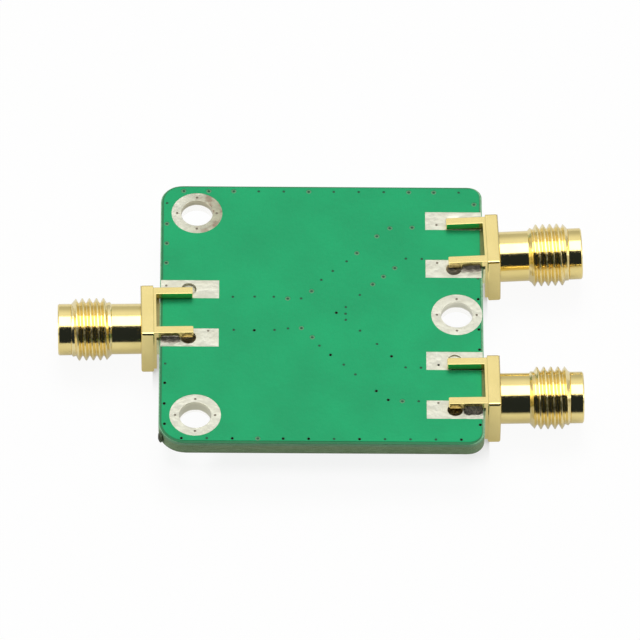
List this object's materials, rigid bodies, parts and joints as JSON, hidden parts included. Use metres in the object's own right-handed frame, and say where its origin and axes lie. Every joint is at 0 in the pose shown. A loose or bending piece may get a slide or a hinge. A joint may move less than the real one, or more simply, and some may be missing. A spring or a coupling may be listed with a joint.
{
  "type": "rf power splitter",
  "caption": "Small square board that splits one radio signal evenly between two outputs through threaded coaxial jacks on its edges.",
  "frame": {"origin": "middle of the bounding box on the plane it rests on, under the three jack flanges", "axes": "+X from the single input jack toward the two output jacks, +Y toward the rear output jack, +Z out of the board's ground face, which faces up; the resistors hang under the board"},
  "size_m": [0.053, 0.0326, 0.0065],
  "materials": {
    "glass_epoxy_laminate": "cut edge of woven glass and epoxy, khaki",
    "copper_foil": "etched copper foil under the mask",
    "green_solder_mask": "satin green lacquer",
    "tinned_plating": "levelled tin over plated copper",
    "gold_plated_brass": "bright gold plating on turned brass",
    "ptfe": "white fluoropolymer, turned",
    "alumina": "white fired ceramic",
    "resistor_overcoat": "black protective coat",
    "tin_end_cap": "bright tin",
    "solder": "hand-soldered, smooth to slightly grainy"
  },
  "bodies": {
    "root": {"front_jack_body": "gold_plated_brass", "front_jack_contact": "gold_plated_brass", "front_jack_insulator": "ptfe", "front_jack_solder": "solder", "front_leg_pads": "tinned_plating", "front_output_line": "copper_foil", "ground_face_solder_mask": "green_solder_mask", "input_jack_body": "gold_plated_brass", "input_jack_contact": "gold_plated_brass", "input_jack_insulator": "ptfe", "input_jack_solder": "solder", "input_leg_pads": "tinned_plating", "input_line": "copper_foil", "mounting_plating_front_left": "tinned_plating", "mounting_plating_rear_left": "tinned_plating", "mounting_plating_right": "tinned_plating", "pcb_laminate": "glass_epoxy_laminate", "pin_pad_tin": "tinned_plating", "rear_jack_body": "gold_plated_brass", "rear_jack_contact": "gold_plated_brass", "rear_jack_insulator": "ptfe", "rear_jack_solder": "solder", "rear_leg_pads": "tinned_plating", "rear_output_line": "copper_foil", "resistor_cores": "alumina", "resistor_end_caps": "tin_end_cap", "resistor_overcoats": "resistor_overcoat", "resistor_solder": "solder", "star_point_copper": "copper_foil", "trace_face_solder_mask": "green_solder_mask"}
  },
  "joints": []
}
